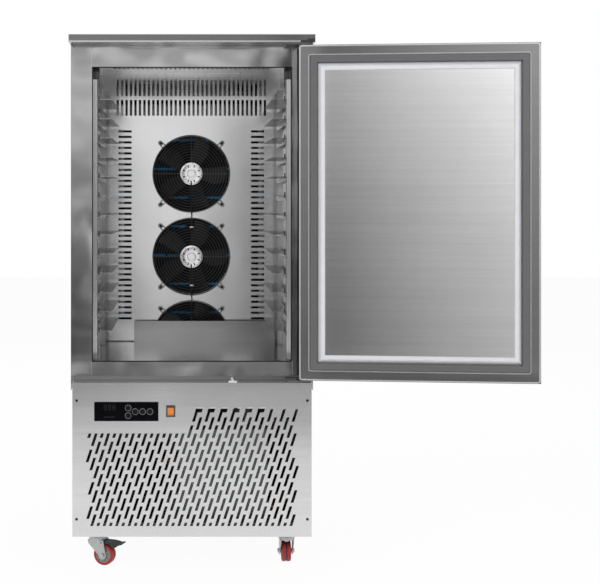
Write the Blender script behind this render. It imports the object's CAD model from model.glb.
"""Looks of the upright blast chiller: steel casing, fan wall, sealed door, grille and casters."""

import logging
import math
from dataclasses import dataclass, field
from enum import Enum
from typing import Any, Iterable, Sequence

import bmesh
import bpy
from mathutils import Matrix, Vector

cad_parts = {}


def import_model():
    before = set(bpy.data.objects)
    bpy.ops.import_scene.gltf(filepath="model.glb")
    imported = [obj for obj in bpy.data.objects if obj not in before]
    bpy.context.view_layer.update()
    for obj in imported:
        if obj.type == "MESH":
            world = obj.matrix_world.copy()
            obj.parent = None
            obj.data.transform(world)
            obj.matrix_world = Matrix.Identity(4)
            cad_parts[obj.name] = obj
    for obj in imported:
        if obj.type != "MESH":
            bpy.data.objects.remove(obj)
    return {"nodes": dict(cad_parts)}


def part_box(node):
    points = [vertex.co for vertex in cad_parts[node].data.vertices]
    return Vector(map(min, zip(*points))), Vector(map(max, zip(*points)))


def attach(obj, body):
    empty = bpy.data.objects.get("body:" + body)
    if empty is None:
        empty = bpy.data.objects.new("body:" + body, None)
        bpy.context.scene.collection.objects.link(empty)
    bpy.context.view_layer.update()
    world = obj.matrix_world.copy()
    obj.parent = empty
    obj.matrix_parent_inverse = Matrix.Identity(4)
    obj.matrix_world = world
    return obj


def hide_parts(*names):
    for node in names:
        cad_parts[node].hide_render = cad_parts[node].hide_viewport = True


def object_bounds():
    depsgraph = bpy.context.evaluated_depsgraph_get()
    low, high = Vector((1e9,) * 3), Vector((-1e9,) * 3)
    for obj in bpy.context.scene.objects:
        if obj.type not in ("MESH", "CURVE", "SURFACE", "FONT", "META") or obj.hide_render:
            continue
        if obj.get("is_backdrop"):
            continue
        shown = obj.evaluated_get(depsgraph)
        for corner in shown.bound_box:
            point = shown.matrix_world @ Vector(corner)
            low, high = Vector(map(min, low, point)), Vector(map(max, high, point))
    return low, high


LOG = logging.getLogger("chiller")
Pair = tuple[float, float]
Point = tuple[float, float, float]
Profile = Sequence[Pair]
MM = 0.001
SIDES = (-1, 1)
QUARTERS = (45, 135, 225, 315)
WHITE = (1.0, 1.0, 1.0)


class Grain(Enum):
    """Which way the brush marks of a sheet run."""

    ACROSS = (5.0, 5.0, 620.0)
    DEEP = (620.0, 5.0, 620.0)
    UPRIGHT = (620.0, 620.0, 5.0)
    FLAT = (5.0, 620.0, 620.0)


class Axis(Enum):
    """Axis that a turned piece is made around."""

    X = 0
    Y = 1
    Z = 2


# ---------------------------------------------------------------- shader maths


class Val:
    """A shader socket, or a plain number, that adds Math nodes when it is reckoned with."""

    def __init__(self, tree: "Nodes", socket: Any) -> None:
        """Wraps a socket.

        Args:
            tree: the node builder that the socket belongs to.
            socket: an output socket.
        """
        self.tree = tree
        self.socket = socket

    def _math(self, operation: str, *values: Any) -> "Val":
        """One Math node.

        Args:
            operation: the node's operation.
            values: numbers or wrapped sockets.

        Returns:
            The node's output.
        """
        return self.tree.add("ShaderNodeMath", {"operation": operation}, dict(enumerate(values)))

    def __add__(self, other: Any) -> "Val":
        """self + other."""
        return self._math("ADD", self, other)

    def __radd__(self, other: Any) -> "Val":
        """other + self."""
        return self._math("ADD", other, self)

    def __sub__(self, other: Any) -> "Val":
        """self - other."""
        return self._math("SUBTRACT", self, other)

    def __rsub__(self, other: Any) -> "Val":
        """other - self."""
        return self._math("SUBTRACT", other, self)

    def __mul__(self, other: Any) -> "Val":
        """self * other."""
        return self._math("MULTIPLY", self, other)

    def __rmul__(self, other: Any) -> "Val":
        """other * self."""
        return self._math("MULTIPLY", other, self)

    def __truediv__(self, other: Any) -> "Val":
        """self / other."""
        return self._math("DIVIDE", self, other)

    def __gt__(self, other: Any) -> "Val":
        """1 where self is greater."""
        return self._math("GREATER_THAN", self, other)

    def __lt__(self, other: Any) -> "Val":
        """1 where self is less."""
        return self._math("LESS_THAN", self, other)

    def power(self, exponent: float) -> "Val":
        """self to a power."""
        return self._math("POWER", self, exponent)

    def clamp(self, low: float = 0.0, high: float = 1.0) -> "Val":
        """self held between two numbers."""
        return self._math("MINIMUM", self._math("MAXIMUM", self, low), high)

    def fract(self) -> "Val":
        """The fraction of self."""
        return self._math("FRACT", self)


class Nodes:
    """Builds the node tree of one material, or of the world."""

    def __init__(self, name: str, world: bool = False) -> None:
        """Starts an empty tree.

        Args:
            name: the material's or world's name.
            world: whether it is the world's.
        """
        self.material = (bpy.data.worlds if world else bpy.data.materials).new(name)
        self.material.use_nodes = True
        self.tree = self.material.node_tree
        self.tree.nodes.clear()

    def add(
        self,
        kind: str,
        settings: dict[str, Any] | None = None,
        inputs: dict[Any, Any] | None = None,
        output: int | str = 0,
    ) -> Val:
        """Adds one node.

        Args:
            kind: Blender's node type.
            settings: properties set before anything is linked; "stops" sets a ramp's colours.
            inputs: values or wrapped sockets, by socket name or number.
            output: which output to return.

        Returns:
            The chosen output, wrapped.
        """
        node = self.tree.nodes.new(kind)
        for key, value in (settings or {}).items():
            if key == "stops":
                self._stops(node, value)
            else:
                setattr(node, key, value)
        for key, value in (inputs or {}).items():
            socket = node.inputs[key]
            if isinstance(value, Val):
                self.tree.links.new(value.socket, socket)
            else:
                socket.default_value = value
        return Val(self, node.outputs[output] if len(node.outputs) else None)

    @staticmethod
    def _stops(node: Any, stops: Sequence[tuple[float, Sequence[float]]]) -> None:
        """Sets a colour ramp's stops.

        Args:
            node: the ramp node.
            stops: position and colour of each.
        """
        ramp = node.color_ramp
        while len(ramp.elements) < len(stops):
            ramp.elements.new(0.5)
        for element, (place, colour) in zip(ramp.elements, stops):
            element.position = place
            element.color = (*colour, 1.0)

    def where(self) -> Val:
        """Object coordinates, in metres in the row frame."""
        return self.add("ShaderNodeTexCoord", output="Object")

    def seen(self) -> Val:
        """How far something is seen: straight, in a reflection or through glass.

        Returns:
            1 where it is seen, and 0 where it only lights other things.
        """
        outputs = self.add("ShaderNodeLightPath").socket.node.outputs
        kinds = ("Camera", "Glossy", "Transmission")
        straight, mirrored, through = (Val(self, outputs[f"Is {kind} Ray"]) for kind in kinds)
        return (straight + mirrored + through).clamp()

    def parts(self, vector: Val) -> tuple[Val, Val, Val]:
        """Splits a vector.

        Args:
            vector: the vector.

        Returns:
            Its three components.
        """
        first = self.add("ShaderNodeSeparateXYZ", {}, {0: vector})
        outputs = first.socket.node.outputs
        return tuple(Val(self, outputs[i]) for i in range(3))

    def scaled(self, vector: Val, scale: Sequence[float]) -> Val:
        """A vector multiplied part by part.

        Args:
            vector: the vector.
            scale: three factors.

        Returns:
            The product.
        """
        return self.add(
            "ShaderNodeVectorMath", {"operation": "MULTIPLY"}, {0: vector, 1: tuple(scale)}
        )

    def noise(self, vector: Val, scale: float, detail: float = 4.0, rough: float = 0.55) -> Val:
        """A noise texture between 0 and 1.

        Args:
            vector: coordinates.
            scale: the noise's scale.
            detail: octaves.
            rough: roughness of the octaves.

        Returns:
            The factor.
        """
        return self.add(
            "ShaderNodeTexNoise",
            {"noise_dimensions": "3D"},
            {"Vector": vector, "Scale": scale, "Detail": detail, "Roughness": rough},
        )

    def mix(self, factor: Any, first: Any, second: Any) -> Val:
        """Mixes two colours.

        Args:
            factor: how much of the second.
            first: colour at 0.
            second: colour at 1.

        Returns:
            The mixed colour.
        """
        return self.add(
            "ShaderNodeMix",
            {"data_type": "RGBA"},
            {0: factor, 6: _rgba(first), 7: _rgba(second)},
            output=2,
        )

    def shade(self, colour: Any, factor: Any) -> Val:
        """Multiplies a colour by a number that varies.

        Args:
            colour: colour.
            factor: the number.

        Returns:
            The shaded colour.
        """
        grey = self.add("ShaderNodeCombineColor", {}, {0: factor, 1: factor, 2: factor})
        return self.add(
            "ShaderNodeMix",
            {"data_type": "RGBA", "blend_type": "MULTIPLY"},
            {0: 1.0, 6: _rgba(colour), 7: grey},
            output=2,
        )

    def bump(self, height: Val, strength: float, distance: float, normal: Val | None = None) -> Val:
        """A bump from a height.

        Args:
            height: the height.
            strength: the bump's strength.
            distance: its depth in metres.
            normal: a bump below this one.

        Returns:
            The normal.
        """
        inputs: dict[Any, Any] = {"Height": height, "Strength": strength, "Distance": distance}
        if normal is not None:
            inputs["Normal"] = normal
        return self.add("ShaderNodeBump", {}, inputs)

    def principled(self, **inputs: Any) -> bpy.types.Material:
        """Ends the tree in a Principled shader.

        Args:
            inputs: socket names with underscores for spaces.

        Returns:
            The material.
        """
        named = {key.replace("_", " "): value for key, value in inputs.items()}
        if "Base Color" in named:
            named["Base Color"] = _rgba(named["Base Color"])
        shader = self.add("ShaderNodeBsdfPrincipled", {}, named)
        self.add("ShaderNodeOutputMaterial", {}, {"Surface": shader})
        return self.material


def _rgba(colour: Any) -> Any:
    """A colour with its fourth number.

    Args:
        colour: three numbers, or a wrapped socket.

    Returns:
        Four numbers, or the socket.
    """
    if isinstance(colour, Val) or len(colour) == 4:
        return colour
    return (*colour, 1.0)


# ---------------------------------------------------------------- finishes


@dataclass(frozen=True)
class BrushedSteel:
    """Brushed stainless sheet with cloudy handling marks.

    Its fade is an axis, a low and a high place on it in metres, and the tone's factor at each.
    """

    name: str
    tone: float = 0.42
    grain: Grain = Grain.ACROSS
    rough: float = 0.34
    streak: float = 0.16
    cloud: float = 0.14
    wave: float = 0.2
    swell: float = 3.0
    tint: tuple[float, float, float] = (1.0, 1.0, 1.008)
    fade: tuple[Axis, float, float, float, float] | None = None

    def make(self) -> bpy.types.Material:
        """Builds the finish.

        Returns:
            The material.
        """
        n = Nodes(self.name)
        here = n.where()
        fine = n.noise(n.scaled(here, self.grain.value), 1.0, 5.0, 0.7)
        broad = n.noise(n.scaled(here, [v / 9 for v in self.grain.value]), 1.0, 3.0, 0.6)
        cloud = n.noise(here, 3.2, 3.0, 0.5)
        marks = n.noise(here, 21.0, 5.0, 0.62)
        shade = (
            1.0
            + (fine - 0.5) * self.streak
            + (broad - 0.5) * self.streak
            + (cloud - 0.5) * self.cloud
            + (marks - 0.5) * self.cloud * 0.25
        )
        if self.fade is not None:
            axis, low, high, at_low, at_high = self.fade
            along = n.parts(here)[axis.value]
            share = ((along - low) / (high - low)).clamp()
            shade = shade * (at_low + share * (at_high - at_low))
        colour = n.shade(tuple(self.tone * t for t in self.tint), shade)
        rough = self.rough * (1.0 + (fine - 0.5) * 0.5 + (marks - 0.5) * 0.14)
        wave = n.noise(here, self.swell, 1.0, 0.4)
        normal = n.bump(fine, 0.12, 0.0001, n.bump(wave, self.wave, 0.02))
        return n.principled(
            Base_Color=colour, Metallic=1.0, Roughness=rough.clamp(0.06, 0.8), Normal=normal
        )


@dataclass(frozen=True)
class Coated:
    """Paint, plastic or rubber: an even colour with grain, dust and rubbed places."""

    name: str
    colour: tuple[float, float, float]
    rough: float = 0.4
    grain_scale: float = 900.0
    grain_depth: float = 0.00004
    variation: float = 0.12
    dust: float = 0.05
    metallic: float = 0.0
    coat: float = 0.0
    glow: float = 0.0
    shine: float = 0.5

    def make(self) -> bpy.types.Material:
        """Builds the finish.

        Returns:
            The material.
        """
        n = Nodes(self.name)
        here = n.where()
        grain = n.noise(here, self.grain_scale, 2.0, 0.5)
        blotch = n.noise(here, 24.0, 4.0, 0.6)
        dusty = (n.noise(here, 7.0, 6.0, 0.7) - 0.5).clamp() * 2.0 * self.dust
        base = n.shade(self.colour, 1.0 + (blotch - 0.5) * self.variation)
        colour = n.mix(dusty, base, (0.45, 0.44, 0.42))
        rough = self.rough + (blotch - 0.5) * 0.14 + dusty
        extra: dict[str, Any] = {"Specular_IOR_Level": self.shine}
        if self.coat:
            extra.update(Coat_Weight=self.coat, Coat_Roughness=0.08)
        if self.glow:
            extra.update(Emission_Color=_rgba(self.colour), Emission_Strength=self.glow)
        return n.principled(
            Base_Color=colour,
            Metallic=self.metallic,
            Roughness=rough.clamp(0.05, 0.95),
            Normal=n.bump(grain, 0.35, self.grain_depth),
            **extra,
        )


@dataclass(frozen=True)
class Zinc:
    """Zinc-plated or galvanised metal with its crystal pattern."""

    name: str
    tone: float = 0.42
    rough: float = 0.36
    crystal: float = 60.0

    def make(self) -> bpy.types.Material:
        """Builds the finish.

        Returns:
            The material.
        """
        n = Nodes(self.name)
        here = n.where()
        cells = n.add("ShaderNodeTexVoronoi", {}, {"Vector": here, "Scale": self.crystal}, "Color")
        red = n.add("ShaderNodeSeparateColor", {}, {0: cells})
        stain = n.noise(here, 15.0, 5.0, 0.65)
        shade = 1.0 + (red - 0.5) * 0.18 + (stain - 0.5) * 0.3
        tone = (self.tone, self.tone * 1.01, self.tone * 1.03)
        return n.principled(
            Base_Color=n.shade(tone, shade),
            Metallic=0.95,
            Roughness=(self.rough + (red - 0.5) * 0.12 + (stain - 0.5) * 0.2).clamp(0.1, 0.8),
            Normal=n.bump(stain, 0.15, 0.0004),
        )


@dataclass(frozen=True)
class FinStack:
    """Dark fins whose coated edges catch the light in level rows."""

    name: str
    dark: tuple[float, float, float] = (0.006, 0.010, 0.014)
    bright: tuple[float, float, float] = (0.04, 0.5, 0.9)
    first: float = 0.988
    pitch: float = 0.110
    share: float = 0.075
    top: float = 1.47
    gaps: float = 0.38

    def make(self) -> bpy.types.Material:
        """Builds the finish.

        Returns:
            The material.
        """
        n = Nodes(self.name)
        here = n.where()
        height = n.parts(here)[2]
        place = ((height - self.first) / self.pitch + 20.0).fract()
        row = (place < self.share) * (height < self.top)
        broken = n.noise(n.scaled(here, (14.0, 14.0, 3.0)), 1.0, 2.0, 0.5) > self.gaps
        frost = n.noise(here, 90.0, 3.0, 0.6)
        colour = n.mix(row * broken, n.shade(self.dark, 0.7 + frost * 0.6), self.bright)
        return n.principled(
            Base_Color=colour,
            Roughness=(0.42 + (frost - 0.5) * 0.2).clamp(0.2, 0.8),
            Specular_IOR_Level=0.2,
            Normal=n.bump(frost, 0.2, 0.0003),
        )


@dataclass(frozen=True)
class Foam:
    """Cut rigid foam."""

    name: str
    colour: tuple[float, float, float] = (0.82, 0.72, 0.42)

    def make(self) -> bpy.types.Material:
        """Builds the finish.

        Returns:
            The material.
        """
        n = Nodes(self.name)
        here = n.where()
        pores = n.noise(here, 420.0, 3.0, 0.6)
        colour = n.shade(self.colour, 0.85 + pores * 0.3)
        return n.principled(Base_Color=colour, Roughness=0.9, Normal=n.bump(pores, 0.5, 0.0006))


# ---------------------------------------------------------------- mesh making


class Shape:
    """One mesh under construction, in the row frame and in metres."""

    def __init__(self) -> None:
        """Starts empty."""
        self.bm = bmesh.new()

    def block(
        self, low: Point, high: Point, bevel: float = 0.0, turn: Matrix | None = None
    ) -> None:
        """Adds a box.

        Args:
            low: lowest corner, mm.
            high: highest corner, mm.
            bevel: width of its bevelled edges, mm.
            turn: a matrix put on it afterwards.
        """
        part = bmesh.ops.create_cube(self.bm, size=1.0)
        verts = part["verts"]
        size = [h - l for l, h in zip(low, high)]
        for v in verts:
            v.co = Vector([(l + (c + 0.5) * s) * MM for l, c, s in zip(low, v.co, size)])
        if bevel > 0:
            edges = list(dict.fromkeys(e for v in verts for e in v.link_edges))
            made = bmesh.ops.bevel(
                self.bm, geom=edges, offset=bevel * MM, segments=2, profile=0.6, affect="EDGES"
            )
            kept = [v for v in verts if v.is_valid]
            verts = list(dict.fromkeys([v for f in made["faces"] for v in f.verts] + kept))
        if turn is not None:
            bmesh.ops.transform(self.bm, matrix=turn, verts=verts)

    def turned(
        self,
        profile: Profile,
        centre: Point,
        axis: Axis = Axis.Y,
        steps: int = 48,
        turn: Matrix | None = None,
    ) -> None:
        """Adds a turned solid.

        Args:
            profile: (radius, height along the axis) points, mm, in order.
            centre: where height 0 is, mm.
            axis: the axis it is turned about.
            steps: how many facets round.
            turn: a matrix put on it afterwards.
        """
        rings: list[list[Any]] = []
        for radius, height in profile:
            count = 1 if radius < 1e-6 else steps
            ring = []
            for k in range(count):
                a = 2 * math.pi * k / steps
                u, w = radius * math.cos(a), radius * math.sin(a)
                local = {
                    Axis.X: (height, u, w),
                    Axis.Y: (w, height, u),
                    Axis.Z: (u, w, height),
                }[axis]
                co = Vector([(c + p) * MM for c, p in zip(centre, local)])
                ring.append(self.bm.verts.new(turn @ co if turn is not None else co))
            rings.append(ring)
        for one, two in zip(rings, rings[1:]):
            for k in range(steps):
                quad = [
                    one[k % len(one)],
                    one[(k + 1) % len(one)],
                    two[(k + 1) % len(two)],
                    two[k % len(two)],
                ]
                unique = list(dict.fromkeys(quad))
                if len(unique) > 2:
                    self.bm.faces.new(unique)

    def tube(
        self, path: Sequence[Point], radius: float, steps: int = 8, closed: bool = False
    ) -> None:
        """Adds a round wire along a path.

        Args:
            path: points, mm.
            radius: wire radius, mm.
            steps: facets round the wire.
            closed: whether the path's ends meet.
        """
        points = [Vector(p) * MM for p in path]
        count = len(points)
        rings = []
        side = None
        for i, point in enumerate(points):
            before = points[i - 1] if (i > 0 or closed) else point
            after = points[(i + 1) % count] if (i < count - 1 or closed) else point
            ahead = (after - before).normalized()
            if side is None:
                side = ahead.orthogonal().normalized()
            side = (side - ahead * side.dot(ahead)).normalized()
            up = ahead.cross(side)
            rings.append(
                [
                    self.bm.verts.new(
                        point
                        + (side * math.cos(a) + up * math.sin(a)) * radius * MM
                    )
                    for a in (2 * math.pi * k / steps for k in range(steps))
                ]
            )
        pairs = list(zip(rings, rings[1:])) + ([(rings[-1], rings[0])] if closed else [])
        for one, two in pairs:
            for k in range(steps):
                self.bm.faces.new([one[k], one[(k + 1) % steps], two[(k + 1) % steps], two[k]])
        if not closed:
            self.bm.faces.new(list(reversed(rings[0])))
            self.bm.faces.new(rings[-1])

    def moulding(self, profile: Profile, low: Pair, high: Pair, base: float) -> None:
        """Adds a mitred frame facing +Y, swept round a rectangle.

        Args:
            profile: (inset, depth) points of the closed section, mm.
            low: x and z of the rectangle's lower corner, mm.
            high: x and z of its upper corner, mm.
            base: y of depth 0, mm.
        """
        rings = []
        for inset, depth in profile:
            corners = [
                (low[0] + inset, low[1] + inset),
                (high[0] - inset, low[1] + inset),
                (high[0] - inset, high[1] - inset),
                (low[0] + inset, high[1] - inset),
            ]
            rings.append(
                [self.bm.verts.new(Vector((x, base + depth, z)) * MM) for x, z in corners]
            )
        for one, two in zip(rings, rings[1:] + rings[:1]):
            for k in range(4):
                self.bm.faces.new([one[k], one[(k + 1) % 4], two[(k + 1) % 4], two[k]])

    def plate(self, outline: Profile, y: float, depth: float) -> None:
        """Adds a flat plate facing Y.

        Args:
            outline: x and z of its corners, mm, in order.
            y: front plane, mm.
            depth: thickness towards +Y, mm.
        """
        front = [self.bm.verts.new(Vector((x, y, z)) * MM) for x, z in outline]
        back = [self.bm.verts.new(Vector((x, y + depth, z)) * MM) for x, z in outline]
        self.bm.faces.new(front)
        self.bm.faces.new(list(reversed(back)))
        for k in range(len(front)):
            j = (k + 1) % len(front)
            self.bm.faces.new([front[j], front[k], back[k], back[j]])

    def moved(self, matrix: Matrix) -> None:
        """Puts a matrix on all that is made so far."""
        bmesh.ops.transform(self.bm, matrix=matrix, verts=self.bm.verts)

    def finish(
        self,
        name: str,
        body: str,
        slot: str,
        material: bpy.types.Material,
        stands_for: Iterable[str] = (),
        crease: float = 32.0,
    ) -> bpy.types.Object:
        """Turns the mesh into a piece.

        Args:
            name: the piece's name.
            body: the CAD body it moves with.
            slot: the record's material slot.
            material: its material.
            stands_for: CAD nodes it replaces.
            crease: edges sharper than this angle stay sharp, degrees.

        Returns:
            The piece.
        """
        bmesh.ops.recalc_face_normals(self.bm, faces=self.bm.faces)
        limit = math.radians(crease)
        for face in self.bm.faces:
            face.smooth = True
        for edge in self.bm.edges:
            edge.smooth = len(edge.link_faces) == 2 and edge.calc_face_angle(0.0) < limit
        mesh = bpy.data.meshes.new(name)
        self.bm.to_mesh(mesh)
        self.bm.free()
        mesh.materials.append(material)
        piece = bpy.data.objects.new(name, mesh)
        bpy.context.scene.collection.objects.link(piece)
        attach(piece, body)
        names = list(stands_for)
        if names:
            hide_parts(*names)
        return piece


def between(first: float, second: float, side: int) -> Pair:
    """Two distances from the middle, on one side of it, lower first.

    Args:
        first: one distance, mm.
        second: the other, mm.
        side: -1 for the left and 1 for the right.

    Returns:
        The lower and the higher x, mm.
    """
    low, high = sorted((side * first, side * second))
    return low, high


def rounded(
    x: float, z: float, half_w: float, half_h: float, radius: float
) -> list[Pair]:
    """Corners of a rounded rectangle.

    Args:
        x: centre, mm.
        z: centre, mm.
        half_w: half its width.
        half_h: half its height.
        radius: corner radius.

    Returns:
        Points, anticlockwise.
    """
    out = []
    for sx, sz, start in ((1, 1, 0), (-1, 1, 90), (-1, -1, 180), (1, -1, 270)):
        for k in range(6):
            a = math.radians(start + 90 * k / 5)
            out.append(
                (
                    x + sx * (half_w - radius) + radius * math.cos(a),
                    z + sz * (half_h - radius) + radius * math.sin(a),
                )
            )
    return out


class Dresser:
    """Puts finishes on the nodes that keep their CAD shape, and never touches their meshes."""

    merge: float = 0.00001
    sharp: float = 40.0

    def __init__(self, nodes: dict[str, bpy.types.Object]) -> None:
        """Keeps the nodes.

        Args:
            nodes: CAD nodes by name.
        """
        self.nodes = nodes

    def dress(self, material: bpy.types.Material, *names: str, bevel: float = 0.0) -> None:
        """Gives CAD nodes a material.

        Args:
            material: the material.
            names: the nodes.
            bevel: width of the modifier's bevel on the edges shown, mm.
        """
        for name in names:
            node = self.nodes[name]
            for slot in node.material_slots:
                slot.material = material
            if bevel > 0:
                weld = node.modifiers.new("weld", "WELD")
                weld.merge_threshold = self.merge
                soft = node.modifiers.new("soft_edges", "BEVEL")
                soft.width = bevel * MM
                soft.segments = 2
                soft.limit_method = "ANGLE"
                soft.angle_limit = math.radians(self.sharp)


# ---------------------------------------------------------------- sub-assemblies


@dataclass
class Casing:
    """Outer skins, frame round the opening, machine deck, sealed foam and the thin trims."""

    skin: BrushedSteel = field(default=BrushedSteel("steel_skin", 0.46, Grain.UPRIGHT, 0.24))
    cover: BrushedSteel = field(
        default=BrushedSteel(
            "steel_cover", 0.5, Grain.ACROSS, 0.26, fade=(Axis.Y, -0.4598, -0.4585, 0.46, 1.0)
        )
    )
    frame: BrushedSteel = field(
        default=BrushedSteel("steel_frame", 0.5, Grain.ACROSS, 0.13, 0.07, wave=0.3, swell=7.0)
    )
    lower: BrushedSteel = field(default=BrushedSteel("steel_lower", 0.70, Grain.ACROSS, 0.24))
    under: BrushedSteel = field(default=BrushedSteel("steel_under", 0.95, Grain.ACROSS, 0.3))
    seam: BrushedSteel = field(default=BrushedSteel("steel_seam", 0.66, Grain.ACROSS, 0.3))
    ledge: BrushedSteel = field(default=BrushedSteel("steel_ledge", 0.4, Grain.ACROSS, 0.3))
    pad: Coated = field(default=Coated("hinge_pad", (0.05, 0.05, 0.052), 0.4, metallic=0.5))
    galvanised: Zinc = field(default=Zinc("galvanised"))
    foam: Foam = field(default=Foam("foam_core"))
    lip_y: float = -460.1
    cover_low: float = 1716.0
    seam_x: float = 331.6
    seam_half: float = 0.7
    seam_y: Pair = (-380.4, -379.9)
    seam_spans: tuple[Pair, ...] = ((1645.0, 1712.0), (624.5, 670.0))

    def dress(self, dresser: Dresser) -> None:
        """Finishes the skins that keep their CAD shape.

        Args:
            dresser: puts materials on nodes.
        """
        skin = self.skin.make()
        dresser.dress(skin, "side_skins", "rear_skin", "lower_sides")
        dresser.dress(self.cover.make(), "top_cover", bevel=1.2)
        dresser.dress(self.frame.make(), "front_frame")
        dresser.dress(self.lower.make(), "front_grille_panel", bevel=0.5)
        dresser.dress(skin, "rear_grille_panel", bevel=0.4)
        dresser.dress(self.galvanised.make(), "base_chassis", bevel=0.6)
        dresser.dress(self.ledge.make(), "machine_deck", "casing_floor")
        dresser.dress(self.foam.make(), "insulation", "door_foam")

    def trims(self) -> None:
        """Builds the cover's pale underside, the frame's seams and the upper hinge's pads."""
        underside, seams, pads = Shape(), Shape(), Shape()
        underside.block((-387.0, -447.0, 1716.3), (387.0, -393.5, 1717.2))
        underside.finish("cover_underside", "cabinet", "casing_steel", self.under.make())
        seams.block((-398.0, -460.8, self.cover_low), (380.0, self.lip_y, 1721.6))
        front, back = self.seam_y
        for side in SIDES:
            x = side * self.seam_x
            for low, high in self.seam_spans:
                seams.block((x - self.seam_half, front, low), (x + self.seam_half, back, high))
        seams.finish("frame_seams", "cabinet", "casing_steel", self.seam.make())
        pads.block((352.0, -461.6, 1716.2), (398.0, self.lip_y, 1723.4), 0.5)
        pads.block((374.0, -461.9, 1722.0), (398.6, self.lip_y, 1728.0), 0.5)
        pads.finish("cover_hinge_pads", "cabinet", "hinge_steel", self.pad.make())

    def build(self, dresser: Dresser) -> None:
        """Finishes the casing.

        Args:
            dresser: puts materials on nodes.
        """
        self.dress(dresser)
        self.trims()


@dataclass
class Chamber:
    """The food space: liner, ceiling, fan wall, floor tray, its drain and the opening's seal."""

    wall: BrushedSteel = field(default=BrushedSteel("steel_liner", 0.9, Grain.ACROSS, 0.26, 0.06))
    top: BrushedSteel = field(
        default=BrushedSteel("steel_ceiling", 0.92, Grain.ACROSS, 0.12, 0.03, wave=0.02)
    )
    fan_wall: BrushedSteel = field(
        default=BrushedSteel("steel_fan_wall", 0.86, Grain.ACROSS, 0.2, 0.06)
    )
    tray: BrushedSteel = field(default=BrushedSteel("steel_tray", 0.46, Grain.ACROSS, 0.2, 0.06))
    shadow: Coated = field(
        default=Coated("seal_black", (0.008, 0.008, 0.009), 0.5, dust=0.02, shine=0.2)
    )
    low: Pair = (-330.0, 670.0)
    high: Pair = (330.0, 1645.0)
    face_y: float = -380.0
    seal: float = 3.4
    corner: float = 5.0

    def dress(self, dresser: Dresser) -> None:
        """Finishes the chamber's sheets.

        Args:
            dresser: puts materials on nodes.
        """
        wall = self.wall.make()
        dresser.dress(wall, "chamber_liner", "drain_pipe")
        dresser.dress(self.tray.make(), "floor_tray")
        dresser.dress(self.top.make(), "ceiling_panel")
        dresser.dress(self.fan_wall.make(), "fan_panel", bevel=0.3)

    def fillet(self, x: float, z: float, side: int, up: int) -> list[Pair]:
        """Outline of the filled corner inside the seal.

        Args:
            x: the corner, mm.
            z: the corner, mm.
            side: 1 where the opening lies to the right of it, or -1.
            up: 1 where the opening lies above it, or -1.

        Returns:
            Points, the corner first.
        """
        angles = [math.radians(15 * k) for k in range(7)]
        return [(x, z)] + [
            (
                x + side * self.corner * (1 - math.sin(a)),
                z + up * self.corner * (1 - math.cos(a)),
            )
            for a in angles
        ]

    def seals(self) -> None:
        """Builds the dark seal round the opening, with its rounded inner corners."""
        (left, low), (right, high) = self.low, self.high
        shape = Shape()
        near, far = 0.4, 3.4
        section = [(0.2, near), (self.seal, near), (self.seal, far), (0.2, far)]
        shape.moulding(section, self.low, self.high, self.face_y)
        for x, side in ((left + self.seal, 1), (right - self.seal, -1)):
            for z, up in ((low + self.seal, 1), (high - self.seal, -1)):
                shape.plate(self.fillet(x, z, side, up), self.face_y + near, 3.0)
        shape.finish("opening_seal", "cabinet", "dark_plastic", self.shadow.make())

    def build(self, dresser: Dresser) -> None:
        """Finishes the chamber.

        Args:
            dresser: puts materials on nodes.
        """
        self.dress(dresser)
        self.seals()


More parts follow.
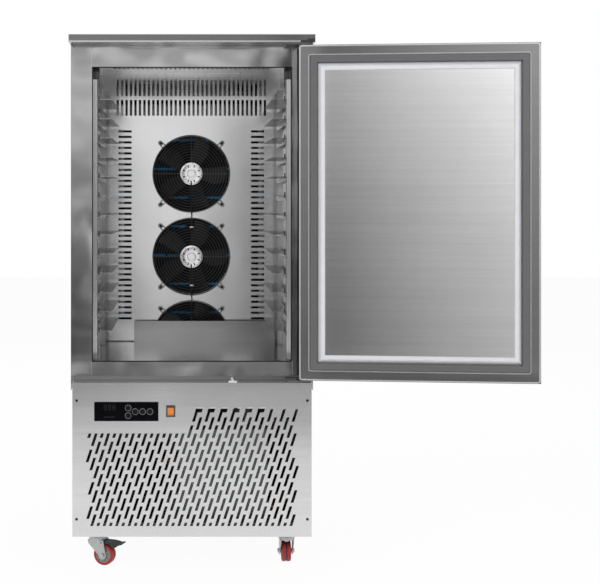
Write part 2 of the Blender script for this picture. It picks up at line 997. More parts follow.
@dataclass
class FanStack:
    """Three axial fans: wire guards with lugs, motors with leads, pitched blades."""

    levels: tuple[float, ...] = (680.0, 991.0, 1302.0)
    panel_y: float = 178.0
    guard_y: float = 160.0
    ring_r: float = 143.5
    hub_r: float = 43.0
    wire_r: float = 1.1
    wires: tuple[float, ...] = tuple(52.0 + 10.2 * k for k in range(9))
    loop: float = 6.5
    bolt_r: float = 162.0
    front: float = 156.4
    clips: tuple[float, ...] = (1102.0, 884.0)
    ring: Coated = field(default=Coated("guard_ring", (0.10, 0.10, 0.105), 0.28, metallic=0.7))
    wire: Coated = field(default=Coated("guard_wire", (0.075, 0.075, 0.08), 0.4, metallic=0.4))
    lug: Coated = field(default=Coated("guard_lug", (0.34, 0.34, 0.35), 0.32, metallic=0.8))
    silver: Coated = field(
        default=Coated("motor_silver", (0.93, 0.93, 0.94), 0.16, 300.0, dust=0.02, metallic=0.85)
    )
    black: Coated = field(
        default=Coated("rotor_black", (0.006, 0.007, 0.008), 0.34, 500.0, dust=0.03, shine=0.6)
    )

    def _circle(self, radius: float, y: float, z: float, steps: int = 72) -> list[Point]:
        """Points of a circle facing Y.

        Args:
            radius: its radius, mm.
            y: its plane, mm.
            z: its centre's height, mm.
            steps: how many points.

        Returns:
            The points.
        """
        angles = [2 * math.pi * k / steps for k in range(steps)]
        return [(radius * math.cos(a), y, z + radius * math.sin(a)) for a in angles]

    def _spin(self, z: float, angle: float) -> Matrix:
        """The turn that takes a shape at the origin round one fan.

        Args:
            z: the fan's height, mm.
            angle: how far round it, degrees.

        Returns:
            The matrix, in metres.
        """
        turn = Matrix.Rotation(math.radians(angle), 4, "Y")
        return Matrix.Translation((0, 0, z * MM)) @ turn

    def guards(self, dark: bpy.types.Material, metal: bpy.types.Material) -> None:
        """Builds the guards: two rings joined by stays, and concentric wires on four spokes.

        Args:
            dark: the rings' material.
            metal: the wires' material.
        """
        rings, wires = Shape(), Shape()
        outer, inner = self.guard_y + 3, self.panel_y - 3
        for z in self.levels:
            rings.tube(self._circle(self.ring_r, outer, z), 2.6, 8, True)
            rings.tube(self._circle(self.ring_r, inner, z), 2.4, 8, True)
            for radius in self.wires:
                wires.tube(self._circle(radius, self.guard_y + 1.5, z), self.wire_r, 6, True)
            for k in range(4):
                a = math.radians(90 * k)
                u, w = math.cos(a), math.sin(a)
                ends = (self.hub_r - 4, self.ring_r - 2)
                wires.tube([(r * u, self.guard_y + 3.4, z + r * w) for r in ends], 1.6, 8)
                u, w = math.cos(a + 0.4), math.sin(a + 0.4)
                x, up = self.ring_r * u, z + self.ring_r * w
                rings.tube([(x, outer, up), (x, inner, up)], 2.0, 8)
        rings.finish("fan_guard_rings", "cabinet", "guard_metal", dark, ["fan_guards"])
        wires.finish("fan_guard_wires", "cabinet", "guard_metal", metal)

    def lugs(self, metal: bpy.types.Material, bolt: bpy.types.Material) -> None:
        """Builds the four wire loops that hold each guard, with their washers and bolts.

        Args:
            metal: the loops' material.
            bolt: the bolts' material.
        """
        loops, bolts = Shape(), Shape()
        end, y, r = self.bolt_r + 3, self.panel_y - 4, self.loop
        bow = [math.pi * (k / 8 - 0.5) for k in range(9)]
        path = [
            (self.ring_r, y, -r),
            *[(end + r * math.cos(a), y, r * math.sin(a)) for a in bow],
            (self.ring_r, y, r),
        ]
        washer = [(0, 171.4), (8.2, 171.4), (8.6, 172.0), (8.6, 172.6), (0, 172.6)]
        head = [(0, 168.2), (4.2, 168.2), (5.4, 169.2), (5.6, 171.5), (0, 171.5)]
        centre = (self.bolt_r, 0.0, 0.0)
        for z in self.levels:
            for angle in QUARTERS:
                spin = self._spin(z, angle)
                bent = [tuple(spin @ (Vector(point) * MM) / MM) for point in path]
                loops.tube(bent, 2.0, 8)
                loops.turned(washer, centre, turn=spin, steps=28)
                bolts.turned(head, centre, steps=6, turn=spin)
        loops.finish("fan_guard_loops", "cabinet", "guard_metal", metal)
        bolts.finish("fan_guard_bolts", "cabinet", "screw_dark", bolt, crease=20)

    def motors(self, silver: bpy.types.Material, dark: bpy.types.Material) -> None:
        """Builds the motors' end caps with their vents.

        Args:
            silver: the caps' material.
            dark: the vents' material.
        """
        caps, vents = Shape(), Shape()
        for z in self.levels:
            caps.turned(
                [
                    (0, 154.6), (13, 154.6), (14, 155.4), (15.5, 155.4), (16.5, 154.8), (34, 155.2),
                    (39, 154.4), (41.6, 155.4), (42.8, 157.4), (43, 160.4), (37, 160.4),
                    (37, 170.0), (0, 170.0),
                ],
                (0.0, 0.0, z),
                steps=64,
            )
            for k in range(8):
                spin = self._spin(z, 22.5 + 45 * k)
                vents.block((25.0, 154.2, -2.0), (34.5, 156.0, 2.0), 0.4, spin)
                vents.block((35.2, 154.1, 7.6), (38.2, 156.0, 10.6), 0.4, spin)
        caps.finish("fan_motor_caps", "cabinet", "motor_silver", silver, ["fan_motors"])
        vents.finish("fan_motor_vents", "cabinet", "dark_plastic", dark)

    def leads(self, dark: bpy.types.Material, white: bpy.types.Material) -> None:
        """Builds the black lead that runs from each hub down to the next, with its clips.

        Args:
            dark: the lead's material.
            white: the clips' material.
        """
        lead, clips = Shape(), Shape()
        front = self.front
        for z in self.levels:
            foot = z - 146.0
            over_guard = [
                (-1, 153.5, z - 27), (0, 153.0, z - 36), (0, front - 2, z - 46),
                (0.6, front, z - 60), (1.2, front, foot), (1.8, front, foot - 6),
            ]
            lead.tube(over_guard, 2.6, 10)
            if z > self.levels[0]:
                to_next_fan = [
                    (1.8, front, foot - 5), (2.2, 171.0, foot - 11), (2.0, 174.6, foot - 15),
                    (1.8, 171.0, foot - 19), (1.5, front, foot - 26), (1, front, foot - 118),
                ]
                lead.tube(to_next_fan, 2.2, 10)
            else:
                into_panel = [(1.8, front, foot - 5), (2, 168, foot - 9), (2, 176.5, foot - 11)]
                lead.tube(into_panel, 2.6, 10)
        for z in self.clips:
            clips.block((-5.5, front - 3.4, z - 2.2), (8.5, front + 3.2, z + 2.2), 0.6)
        lead.finish("fan_motor_leads", "cabinet", "dark_plastic", dark)
        clips.finish("fan_lead_clips", "cabinet", "white_plastic", white)

    def build(self, dresser: Dresser, screw: bpy.types.Material) -> None:
        """Builds all three fans.

        Args:
            dresser: puts materials on nodes.
            screw: material of the bolts.
        """
        black, silver = self.black.make(), self.silver.make()
        self.guards(self.ring.make(), self.wire.make())
        self.lugs(self.lug.make(), screw)
        self.motors(silver, black)
        self.leads(black, silver)
        dresser.dress(black, "fan_rotor_1", "fan_rotor_2", "fan_rotor_3", bevel=0.4)


@dataclass
class Evaporator:
    """Coated fins on tubes, between two end plates, with a dark sheet for the deeper rows."""

    half: float = 256.0
    front: float = 256.0
    back: float = 316.0
    low: float = 545.0
    high: float = 1650.0
    pitch: float = 5.6
    dense: float = 1470.0
    rows: int = 8
    reach: float = 284.0
    blue: FinStack = field(default=FinStack("coil_blue"))

    def build(self) -> None:
        """Builds the coil."""
        shape = Shape()
        edge, fin_half = self.half - 2, 0.3
        count = int(self.half * 2 / self.pitch)
        for k in range(count + 1):
            x = -self.half + 2 + k * self.pitch * (2 * self.half - 4) / (count * self.pitch)
            shape.block((x - fin_half, self.front, self.low), (x + fin_half, self.back, self.high))
        shape.block((-edge, self.front + 9, self.low), (edge, self.front + 10, self.dense))
        step = (self.high - self.low) / self.rows
        y = (self.front + self.back) / 2
        end = self.reach
        tube = [(0, -end), (7.5, -end), (8, 0.5 - end), (8, end - 0.5), (7.5, end), (0, end)]
        bend = [(0, -6), (8, -6), (8, step + 6), (0, step + 6)]
        heights = [self.low + (k + 0.5) * step for k in range(self.rows)]
        for z in heights:
            shape.turned(tube, (0.0, y, z), Axis.X, 16)
        for k, z in enumerate(heights[:-1]):
            side = 1 if k % 2 == 0 else -1
            shape.turned(bend, (side * end, y, z), Axis.Z, 16)
        for side in SIDES:
            lo, hi = between(254.0, 256.4, side)
            shape.block((lo, self.front - 3, self.low), (hi, self.back + 3.5, self.high), 0.4)
        blue = self.blue.make()
        shape.finish("evaporator_fins", "cabinet", "coil_blue", blue, ["evaporator_coil"])


@dataclass
class TrayRack:
    """Slotted uprights, their top brackets, and the pairs of runners hooked in them."""

    wall_x: float = 330.0
    face_x: float = 316.0
    rows: tuple[Pair, ...] = ((-334.0, -304.0), (64.0, 94.0))
    sheet: float = 1.6
    slot_half: float = 5.0
    slot_high: float = 13.0
    low: float = 672.7
    high: float = 1608.0
    first: float = 770.0
    pitch: float = 64.2
    levels: int = 13
    steel: BrushedSteel = field(default=BrushedSteel("steel_rack", 0.62, Grain.UPRIGHT, 0.34, 0.06))
    dark: BrushedSteel = field(default=BrushedSteel("steel_bracket", 0.12, Grain.UPRIGHT, 0.3))
    shelf: BrushedSteel = field(default=BrushedSteel("steel_runner", 0.5, Grain.DEEP, 0.24, 0.08))

    def web(self, shape: Shape, side: int, near: float, far: float) -> None:
        """Adds one upright's slotted face: two strips, and the bridges between its slots.

        Args:
            shape: the mesh it goes into.
            side: -1 for the left wall and 1 for the right.
            near: the upright's front, mm.
            far: its back, mm.
        """
        lo, hi = between(self.face_x, self.face_x + self.sheet, side)
        middle = (near + far) / 2
        front, back = middle - self.slot_half, middle + self.slot_half
        shape.block((lo, near, self.low), (hi, front, self.high), 0.3)
        shape.block((lo, back, self.low), (hi, far, self.high), 0.3)
        z = self.low
        for k in range(2 * self.levels + 2):
            slot = self.first - 32 + k * self.pitch / 2
            if slot > self.high - 12:
                break
            if slot > z:
                shape.block((lo, front, z), (hi, back, slot))
            z = slot + self.slot_high
        shape.block((lo, front, z), (hi, back, self.high))

    def uprights(self) -> None:
        """Builds the four uprights."""
        shape = Shape()
        for side in SIDES:
            for near, far in self.rows:
                for y in (near, far - self.sheet):
                    lo, hi = between(self.face_x, self.wall_x, side)
                    shape.block((lo, y, self.low), (hi, y + self.sheet, self.high), 0.4)
                self.web(shape, side, near, far)
        metal = self.steel.make()
        shape.finish("rack_uprights", "cabinet", "rack_steel", metal, ["tray_uprights"])

    def fittings(self) -> None:
        """Builds the front uprights' top brackets, and the hook at the front of each runner."""
        brackets, hooks = Shape(), Shape()
        front, top, face = self.rows[0][0], self.high, self.face_x
        for side in SIDES:
            lo, hi = between(self.wall_x - 0.4, face - 6.0, side)
            brackets.block((lo, front - 1.0, top), (hi, front + 14.0, top + 40.0), 0.6)
            lo, hi = between(face - 5.0, face - 8.0, side)
            brackets.block((lo, front - 1.5, top - 28.0), (hi, front + 1.5, top + 36.0), 0.4)
            lo, hi = between(face - 8.5, face - 3.5, side)
            for k in range(self.levels):
                z = self.first + k * self.pitch
                hooks.block((lo, front - 8.0, z - 6.0), (hi, front - 6.1, z + 11.0), 0.8)
        dark = self.dark.make()
        brackets.finish("rack_top_brackets", "cabinet", "rack_steel", dark)
        hooks.finish("runner_hooks", "cabinet", "rack_steel", dark)

    def build(self, dresser: Dresser) -> None:
        """Builds the uprights and their fittings, and finishes the runners.

        Args:
            dresser: puts materials on nodes.
        """
        self.uprights()
        self.fittings()
        dresser.dress(self.shelf.make(), "tray_runners")


@dataclass
class Door:
    """The thick insulated door, swung open: skin, white moulded frame, gasket and bar handle.

    The mouldings' sections are (inset from the door's edge, height above the seat) points. Each
    bead is its inset, its radius, how deep its middle lies under the seat, and its corners' radius.
    """

    low: Pair = (-382.0, 622.0)
    high: Pair = (382.0, 1706.0)
    seat: float = -393.0
    hinge: Pair = (365.5, -433.0)
    swing: float = 174.5
    trim: Profile = (
        (31.6, -2.9), (31.6, -0.2), (59.6, -0.2), (60.4, 1.2), (68.2, 9.2), (69.0, 8.4),
        (70.2, 8.4), (71.0, 11.4), (72.0, 11.9), (81.6, 11.9), (82.6, 11.4), (83.0, 8.6),
        (84.4, 8.4), (84.4, -0.9), (60.0, -0.9), (60.0, -2.9),
    )
    gasket: Profile = (
        (33.4, 0.1), (33.4, 0.7), (36.4, 0.7), (37.2, 4.0), (36.6, 7.0), (37.4, 10.6),
        (39.4, 12.2), (44.5, 12.4), (45.2, 11.9), (46.6, 11.9), (47.3, 12.4), (55.0, 12.2),
        (57.4, 10.8), (58.2, 8.0), (57.0, 5.4), (59.2, 3.6), (59.4, 0.1),
    )
    beads: tuple[tuple[float, float, float, float], ...] = (
        (31.4, 1.3, 0.6, 8.0),
        (3.5, 3.1, 2.3, 7.0),
    )
    skin: BrushedSteel = field(default=BrushedSteel("steel_door", 0.26, Grain.ACROSS, 0.24))
    inner: BrushedSteel = field(
        default=BrushedSteel("steel_door_inner", 0.85, Grain.ACROSS, 0.24, wave=0.04)
    )
    bar: BrushedSteel = field(default=BrushedSteel("steel_bar", 0.6, Grain.UPRIGHT, 0.2))
    white: Coated = field(default=Coated("trim_white", (0.66, 0.66, 0.69), 0.35, 700.0, dust=0.04))
    rubber: Coated = field(default=Coated("gasket_grey", (0.115, 0.115, 0.118), 0.5, 600.0))
    edge: Coated = field(default=Coated("edge_light", (0.62, 0.62, 0.63), 0.3, metallic=0.6))

    def open_pose(self) -> Matrix:
        """The turn that takes shapes of the shut door to where it stands open.

        Returns:
            The matrix, in metres.
        """
        pivot = Vector((self.hinge[0] * MM, self.hinge[1] * MM, 0.0))
        turn = Matrix.Rotation(math.radians(self.swing), 4, "Z")
        return Matrix.Translation(pivot) @ turn @ Matrix.Translation(-pivot)

    def moulding(
        self, profile: Profile, name: str, slot: str, material: bpy.types.Material, *nodes: str
    ) -> None:
        """Builds one mitred frame of the door.

        Args:
            profile: (inset from the door's edge, height above the seat) points, mm.
            name: the piece's name.
            slot: its slot.
            material: its material.
            nodes: CAD nodes it replaces.
        """
        shape = Shape()
        shape.moulding(profile, self.low, self.high, self.seat)
        shape.moved(self.open_pose())
        shape.finish(name, "door", slot, material, nodes, 24)

    def rims(self) -> None:
        """Builds the two bright beads that run round the door's inner face."""
        shape = Shape()
        middle = [(a + b) / 2 for a, b in zip(self.low, self.high)]
        half = [(b - a) / 2 for a, b in zip(self.low, self.high)]
        for inset, radius, sunk, corner in self.beads:
            outline = rounded(*middle, half[0] - inset, half[1] - inset, corner)
            shape.tube([(x, self.seat - sunk, z) for x, z in outline], radius, 10, True)
        shape.moved(self.open_pose())
        shape.finish("rim_beads", "door", "door_steel", self.edge.make(), (), 40)

    def build(self, dresser: Dresser) -> None:
        """Finishes the door.

        Args:
            dresser: puts materials on nodes.
        """
        dresser.dress(self.skin.make(), "door_shell", bevel=0.4)
        dresser.dress(self.inner.make(), "door_panel")
        dresser.dress(self.bar.make(), "door_handle", bevel=0.8)
        white, rubber = self.white.make(), self.rubber.make()
        self.moulding(self.trim, "trim_frame", "trim_white", white, "door_trim")
        self.moulding(self.gasket, "gasket_bellows", "gasket_grey", rubber, "door_gasket")
        self.rims()


@dataclass
class Controls:
    """Temperature controller, its ring buttons, and the lit rocker switch.

    Each segment of a digit is the place of its middle, its width and its height.
    """

    centre: Pair = (-212.8, 519.3)
    keys: tuple[str, ...] = tuple(f"button_{k}" for k in range(1, 6))
    digits: int = 3
    digit_pitch: float = 14.0
    segments: tuple[tuple[Pair, float, float], ...] = (
        ((0.0, 8.2), 6.6, 1.5), ((0.0, 0.0), 6.6, 1.5), ((0.0, -8.2), 6.6, 1.5),
        ((-3.9, 4.1), 1.5, 6.4), ((3.9, 4.1), 1.5, 6.4), ((-3.9, -4.1), 1.5, 6.4),
        ((3.9, -4.1), 1.5, 6.4),
    )
    marks: int = 6
    mark_pitch: float = 6.0
    face: Coated = field(
        default=Coated(
            "controller_black", (0.002, 0.002, 0.003), 0.12, 60.0, dust=0.0, shine=0.06
        )
    )
    key: Coated = field(
        default=Coated("button_black", (0.006, 0.006, 0.008), 0.3, dust=0.01, shine=0.15)
    )
    bezel: Coated = field(default=Coated("bezel_grey", (0.06, 0.055, 0.05), 0.4))
    orange: Coated = field(
        default=Coated(
            "rocker_orange", (0.60, 0.17, 0.02), 0.22, 80.0, variation=0.8, coat=0.5, glow=0.1
        )
    )
    ring: Coated = field(default=Coated("ring_grey", (0.34, 0.35, 0.37), 0.4))
    dim: Coated = field(default=Coated("digit_dim", (0.022, 0.023, 0.026), 0.3, shine=0.2))

    def rings(self, metal: bpy.types.Material) -> None:
        """Builds the printed ring round each button.

        Args:
            metal: their material.
        """
        shape = Shape()
        front = self.face_front()
        section = (
            (0.4, -0.3), (0.5, -0.4), (1.1, -0.4), (1.2, -0.3), (1.2, 0.1), (0.4, 0.1), (0.4, -0.3),
        )
        for key in self.keys:
            low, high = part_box(key)
            x, z = [(low[i] + high[i]) / 2 / MM for i in (0, 2)]
            r = (high[0] - low[0]) / 2 / MM
            shape.turned([(r + out, y) for out, y in section], (x, front, z), steps=40)
        shape.finish("button_rings", "cabinet", "dark_plastic", metal)

    def face_front(self) -> float:
        """The controller's front plane, mm."""
        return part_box("controller_face")[0][1] / MM

    def displays(self, dim: bpy.types.Material) -> None:
        """Builds the unlit number display, and the row of unlit marks under it.

        Args:
            dim: their material.
        """
        shape = Shape()
        front, thick = self.face_front() - 0.15, 0.2
        left, upper, lower = self.centre[0] - 68, self.centre[1] + 13.5, self.centre[1] - 17.5
        for k in range(self.digits):
            x = left + k * self.digit_pitch
            for at, wide, tall in self.segments:
                outline = rounded(x + at[0], upper + at[1], wide / 2, tall / 2, 0.6)
                shape.plate(outline, front, thick)
        for k in range(self.marks):
            x = left - 2 + k * self.mark_pitch
            shape.plate(rounded(x, lower, 1.9, 1.5, 0.5), front, thick)
        shape.finish("display_segments", "cabinet", "dark_plastic", dim)

    def build(self, dresser: Dresser) -> None:
        """Builds the controls.

        Args:
            dresser: puts materials on nodes.
        """
        dresser.dress(self.face.make(), "controller_face", bevel=0.8)
        dresser.dress(self.key.make(), *self.keys, bevel=0.5)
        dresser.dress(self.bezel.make(), "rocker_bezel", bevel=0.4)
        dresser.dress(self.orange.make(), "power_rocker", bevel=0.5)
        self.rings(self.ring.make())
        self.displays(self.dim.make())


@dataclass
class Hardware:
    """Screws, hinges, the door switch and the cable gland."""

    zinc: Zinc = field(default=Zinc("zinc_plate", 0.5, 0.3, 120.0))
    dark: Coated = field(default=Coated("screw_dark", (0.018, 0.017, 0.016), 0.38, metallic=0.3))
    white: Coated = field(default=Coated("white_plastic", (0.72, 0.72, 0.70), 0.4))
    plastic: Coated = field(default=Coated("dark_plastic", (0.03, 0.03, 0.032), 0.45))
    hinge: BrushedSteel = field(default=BrushedSteel("hinge_steel", 0.3, Grain.ACROSS, 0.35))
    inset: float = 3.6

    def screws(self, metal: bpy.types.Material) -> None:
        """Builds the domed screws of the lower panel.

        Args:
            metal: their material.
        """
        shape = Shape()
        dome = [(0.0, -2.9), (2.4, -2.8), (3.8, -2.1), (4.5, -0.9), (4.6, 0.0), (0, 0.0)]
        low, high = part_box("panel_screws")
        y = high[1] / MM
        for x in (low[0] / MM + self.inset, high[0] / MM - self.inset):
            for z in (low[2] / MM + self.inset, high[2] / MM - self.inset):
                shape.turned(dome, (x, y, z), steps=28)
        shape.finish("screw_heads", "cabinet", "screw_dark", metal, ["panel_screws"])

    def build(self, dresser: Dresser) -> bpy.types.Material:
        """Builds the small hardware.

        Args:
            dresser: puts materials on nodes.

        Returns:
            The dark screw material.
        """
        dark = self.dark.make()
        self.screws(dark)
        plastic = self.plastic.make()
        dresser.dress(self.hinge.make(), "hinge_brackets", bevel=0.5)
        dresser.dress(self.white.make(), "door_switch", bevel=0.5)
        dresser.dress(plastic, "power_gland", bevel=0.6)
        dresser.dress(self.zinc.make(), "caster_plates", bevel=0.5)
        return dark


@dataclass
class Casters:
    """Four casters with red wheels, the front two with a brake pedal.

    The sections are (radius, place along the axle) points, and each wheel has its turn about Z.
    """

    zinc: Zinc = field(default=Zinc("zinc_fork", 0.44, 0.34, 140.0))
    red: Coated = field(default=Coated("wheel_red", (0.34, 0.02, 0.014), 0.4, 500.0, dust=0.06))
    hub: Coated = field(default=Coated("wheel_hub", (0.28, 0.29, 0.29), 0.4, 400.0, dust=0.1))
    black: Coated = field(default=Coated("pedal_black", (0.02, 0.02, 0.022), 0.42))
    turns: tuple[float, ...] = (-20.0, 90.0, 90.0, 90.0)
    ribs: int = 8
    groove_section: Profile = (
        (32.0, -2.1), (33.2, -2.0), (33.2, 2.0), (32.0, 2.1), (32.0, -2.1),
    )
    tyre_section: Profile = (
        (25.4, -14.2), (26.5, -15.0), (31.6, -15.0), (33.2, -14.2), (34.3, -12.6),
        (35.0, -10.0), (35.0, -3.0), (34.6, -2.4), (32.6, -1.9), (32.6, 1.9), (34.6, 2.4),
        (35.0, 3.0), (35.0, 10.0), (34.3, 12.6), (33.2, 14.2), (31.6, 15.0), (26.5, 15.0),
        (25.4, 14.2), (25.4, -14.2),
    )
    hub_section: Profile = (
        (4.3, -17.6), (9.6, -18.0), (10.6, -17.0), (11.2, -12.0), (12.6, -10.8),
        (22.4, -10.8), (23.6, -11.8), (24.0, -14.0), (25.4, -14.2), (25.4, 14.2),
        (24.0, 14.0), (23.6, 11.8), (22.4, 10.8), (12.6, 10.8), (11.2, 12.0),
        (10.6, 17.0), (9.6, 18.0), (4.3, 17.6), (4.3, -17.6),
    )

    def wheel(
        self,
        number: int,
        red: bpy.types.Material,
        grey: bpy.types.Material,
        dark: bpy.types.Material,
    ) -> None:
        """Builds one wheel: a grooved tyre on a dished and ribbed hub.

        Args:
            number: which caster, from 1.
            red: the tyre's material.
            grey: the hub's material.
            dark: the material down in the tyre's groove.
        """
        low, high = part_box(f"caster_wheel_{number}")
        centre = (low + high) / 2
        pose = Matrix.Translation(centre) @ Matrix.Rotation(
            math.radians(self.turns[number - 1]), 4, "Z"
        )
        body = f"wheel_{number}"
        tyre, hub, groove = Shape(), Shape(), Shape()
        for shape, section, steps in (
            (groove, self.groove_section, 72),
            (tyre, self.tyre_section, 72),
            (hub, self.hub_section, 64),
        ):
            shape.turned(section, (0.0, 0.0, 0.0), steps=steps, turn=pose)
        for k in range(self.ribs):
            spin = pose @ Matrix.Rotation(2 * math.pi * k / self.ribs, 4, "Y")
            for y in (-13.4, 10.4):
                hub.block((10.8, y, -1.1), (23.8, y + 3.0, 1.1), 0.4, spin)
        groove.finish(f"wheel_groove_{number}", body, "wheel_red", dark)
        tyre.finish(f"wheel_tyre_{number}", body, "wheel_red", red, (), 28)
        hub.finish(f"wheel_hub_{number}", body, "zinc", grey, [f"caster_wheel_{number}"], 28)

    def build(self, dresser: Dresser) -> None:
        """Builds and finishes the casters.

        Args:
            dresser: puts materials on nodes.
        """
        red, grey, dark = self.red.make(), self.hub.make(), self.black.make()
        numbers = range(1, len(self.turns) + 1)
        dresser.dress(self.zinc.make(), *[f"caster_fork_{k}" for k in numbers], bevel=0.5)
        for number in numbers:
            self.wheel(number, red, grey, dark)
        dresser.dress(dark, "caster_brake_1", "caster_brake_2", bevel=0.8)


@dataclass
class Machinery:
    """Compressor, condenser with its fan, receiver, pipes and the control box."""

    black: Coated = field(default=Coated("unit_black", (0.016, 0.016, 0.018), 0.34, 200.0))
    grey: Coated = field(default=Coated("coil_grey", (0.30, 0.31, 0.32), 0.42, metallic=0.9))
    copper: Coated = field(default=Coated("copper", (0.62, 0.26, 0.14), 0.28, 200.0, metallic=1.0))
    alloy: Coated = field(default=Coated("fan_alloy", (0.5, 0.5, 0.52), 0.34, metallic=0.9))
    sheet: Zinc = field(default=Zinc("shroud_sheet", 0.22))

    def build(self, dresser: Dresser) -> None:
        """Finishes the machinery.

        Args:
            dresser: puts materials on nodes.
        """
        dresser.dress(self.black.make(), "compressor", "liquid_receiver", "control_box", bevel=1.5)
        dresser.dress(self.grey.make(), "condenser_coil")
        dresser.dress(self.sheet.make(), "condenser_shroud", bevel=0.6)
        dresser.dress(self.copper.make(), "refrigerant_pipes")
        dresser.dress(self.alloy.make(), "condenser_fan", bevel=0.3)


@dataclass(frozen=True)
class Card:
    """A card that only reflections see.

    Its plane is a y, or a height where it lies flat. Up runs along z, or along y where it lies
    flat. Low and high are how bright the left and right ends of those edges look in a reflection.
    """

    name: str
    across: Pair
    up: Pair
    plane: float
    low: Pair
    high: Pair
    flat: bool = False


@dataclass(frozen=True)
class Lamp:
    """A soft area lamp: where it hangs, where it points, its width and height, and its watts."""

    name: str
    at: Point
    to: Point
    size: Pair
    watts: float


@dataclass
class Studio:
    """Pale floor, soft lamps, cards for the steel to reflect, and the photograph's camera."""

    spot: Point = (-0.0155, -4.38, 1.214)
    lens: float = 72.64
    sensor: float = 36.0
    shift: Pair = (0.188, -0.158)
    view_end: float = 60.0
    floor_half: float = 14.0
    floor_tone: float = 0.95
    floor_white: float = 0.95
    daylight: float = 0.55
    curve: float = 1.5
    lamps: tuple[Lamp, ...] = (
        Lamp("key_softbox", (-2.6, -4.6, 3.4), (0.1, -0.2, 1.0), (2.4, 2.4), 120),
        Lamp("fill_softbox", (3.4, -3.6, 2.4), (0.2, -0.2, 1.0), (2.2, 2.2), 50),
        Lamp("back_softbox", (0.4, 4.2, 3.0), (0.1, 0.0, 1.0), (3.0, 2.0), 60),
    )
    cards: tuple[Card, ...] = (
        Card("card_left", (-3.0, -0.45), (0.0, 2.1), -5.7, (0.06, 0.06), (0.9, 0.9)),
        Card("card_middle", (0.2, 0.74), (0.2, 1.95), -5.25, (0.04, 0.03), (0.4, 0.3)),
        Card("card_tall", (0.74, 1.7), (0.0, 2.9), -5.2, (0.03, 0.03), (0.03, 0.03)),
        Card("card_slot", (-0.6, 0.6), (2.06, 2.2), -5.3, (1.2, 1.2), (1.2, 1.2)),
        Card("card_top", (-0.9, 0.9), (2.2, 2.7), -5.3, (0.4, 0.6), (0.5, 0.8)),
        Card("card_door", (0.39, 1.25), (0.62, 1.9), -0.75, (0.11, 0.60), (0.50, 1.5)),
        Card("card_floor_far", (-3.0, 3.0), (-8.0, -4.4), 0.004, (0.25, 0.25), (0.15, 0.6), True),
        Card("card_floor_near", (-3.0, 3.0), (-4.4, -2.9), 0.004, (0.01, 0.02), (0.8, 0.8), True),
    )

    def camera(self) -> None:
        """Makes the level camera with its shifted lens."""
        data = bpy.data.cameras.new("studio_camera")
        data.lens = self.lens
        data.sensor_width = self.sensor
        data.sensor_fit = "HORIZONTAL"
        data.shift_x, data.shift_y = self.shift
        data.clip_end = self.view_end
        camera = bpy.data.objects.new("studio_camera", data)
        camera.location = self.spot
        camera.rotation_euler = (math.pi / 2, 0.0, 0.0)
        bpy.context.scene.collection.objects.link(camera)
        bpy.context.scene.camera = camera

    def floor(self) -> None:
        """Makes the pale floor, nearly white where it is seen, which keeps its shadows."""
        n = Nodes("studio_floor")
        here = n.where()
        speck = n.noise(here, 60.0, 3.0, 0.5)
        colour = n.shade((self.floor_tone,) * 3, 0.99 + speck * 0.02)
        plain = n.add("ShaderNodeBsdfDiffuse", {}, {"Color": colour})
        glow = n.add("ShaderNodeEmission", {}, {"Color": _rgba(WHITE), "Strength": 1.0})
        share = n.seen() * self.floor_white
        mixed = n.add("ShaderNodeMixShader", {}, {0: share, 1: plain, 2: glow})
        n.add("ShaderNodeOutputMaterial", {}, {"Surface": mixed})
        mesh = bpy.data.meshes.new("studio_floor")
        bm = bmesh.new()
        bmesh.ops.create_grid(bm, x_segments=2, y_segments=2, size=self.floor_half)
        bm.to_mesh(mesh)
        bm.free()
        mesh.materials.append(n.material)
        piece = bpy.data.objects.new("studio_floor", mesh)
        bpy.context.scene.collection.objects.link(piece)
        piece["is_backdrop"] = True

    def card_glow(self, card: Card) -> bpy.types.Material:
        """Builds a card's gradient of light.

        Args:
            card: the card.

        Returns:
            Its material.
        """
        n = Nodes(card.name)
        here = n.where()
        along = n.parts(here)
        (left, right), (start, end) = card.across, card.up
        side = ((along[0] - left) / (right - left)).clamp()
        rise = ((along[1 if card.flat else 2] - start) / (end - start)).clamp().power(self.curve)
        bottom = card.low[0] + side * (card.low[1] - card.low[0])
        top = card.high[0] + side * (card.high[1] - card.high[0])
        cloud = n.noise(here, 1.1, 2.0, 0.5)
        tone = (bottom + rise * (top - bottom)) * (0.85 + cloud * 0.3)
        glow = n.add("ShaderNodeEmission", {}, {"Color": n.shade(WHITE, tone), "Strength": 1.0})
        n.add("ShaderNodeOutputMaterial", {}, {"Surface": glow})
        return n.material

    def card(self, card: Card) -> None:
        """Makes one card.

        Args:
            card: the card.
        """
        (left, right), (start, end) = card.across, card.up
        outline = ((left, start), (right, start), (right, end), (left, end))
        corners = [(x, v, card.plane) if card.flat else (x, card.plane, v) for x, v in outline]
        mesh = bpy.data.meshes.new(card.name)
        mesh.from_pydata(corners, [], [(0, 1, 2, 3)])
        mesh.materials.append(self.card_glow(card))
        piece = bpy.data.objects.new(card.name, mesh)
        bpy.context.scene.collection.objects.link(piece)
        piece.visible_camera = False
        piece.visible_diffuse = False
        piece.visible_shadow = False
        piece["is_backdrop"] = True

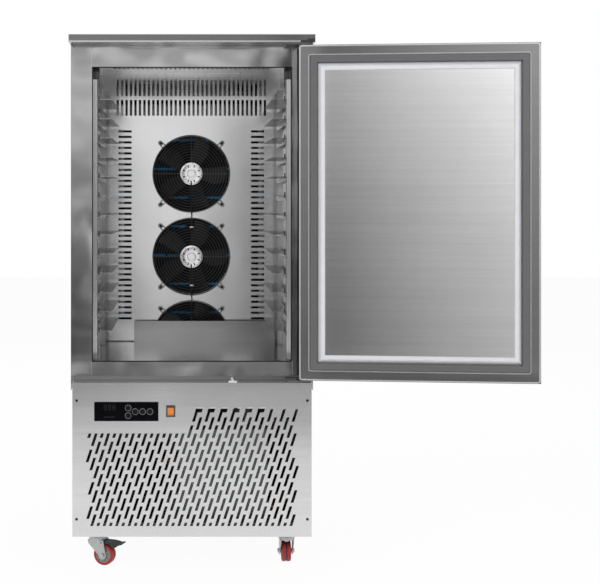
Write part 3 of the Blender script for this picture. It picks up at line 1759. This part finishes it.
    def lamp(self, lamp: Lamp) -> None:
        """Makes one soft area lamp, which reflections don't show.

        Args:
            lamp: the lamp.
        """
        data = bpy.data.lights.new(lamp.name, "AREA")
        data.shape = "RECTANGLE"
        data.size, data.size_y = lamp.size
        data.energy = lamp.watts
        light = bpy.data.objects.new(lamp.name, data)
        light.location = lamp.at
        aim = Vector(lamp.to) - Vector(lamp.at)
        light.rotation_euler = aim.to_track_quat("-Z", "Y").to_euler()
        light.visible_glossy = False
        bpy.context.scene.collection.objects.link(light)

    def sky(self) -> None:
        """Sets the world: white where it is seen, soft grey as a light."""
        n = Nodes("studio_world", world=True)
        bpy.context.scene.world = n.material
        white = n.add("ShaderNodeBackground", {}, {"Color": _rgba(WHITE), "Strength": 1.0})
        soft = n.add("ShaderNodeBackground", {}, {"Color": _rgba(WHITE), "Strength": self.daylight})
        mixed = n.add("ShaderNodeMixShader", {}, {0: n.seen(), 1: soft, 2: white})
        n.add("ShaderNodeOutputWorld", {}, {"Surface": mixed})

    def build(self) -> None:
        """Sets up the whole studio."""
        self.camera()
        self.floor()
        self.sky()
        for lamp in self.lamps:
            self.lamp(lamp)
        for card in self.cards:
            self.card(card)
        bpy.context.scene.view_settings.view_transform = "Standard"


def main() -> None:
    """Builds and dresses the blast chiller in order, and reports each piece."""
    logging.basicConfig(level=logging.INFO, format="%(name)s: %(message)s")
    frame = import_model()
    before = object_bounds()
    dresser = Dresser(frame["nodes"])
    Studio().build()
    LOG.info("studio ready")
    screw = Hardware().build(dresser)
    LOG.info("hardware ready")
    Casing().build(dresser)
    Chamber().build(dresser)
    LOG.info("casing and chamber dressed")
    FanStack().build(dresser, screw)
    LOG.info("fans built")
    Evaporator().build()
    TrayRack().build(dresser)
    LOG.info("coil and rack built")
    Door().build(dresser)
    LOG.info("door built")
    Controls().build(dresser)
    Casters().build(dresser)
    Machinery().build(dresser)
    LOG.info("controls, casters and machinery built")
    {"cad": _plain(before), "visual": _plain(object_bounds())}


def _plain(bounds: Any) -> Any:
    """Bounds as plain lists.

    Args:
        bounds: nested vectors or numbers.

    Returns:
        Nested lists of floats.
    """
    if isinstance(bounds, (int, float)):
        return float(bounds)
    return [_plain(b) for b in bounds]


if __name__ == "__main__":
    main()
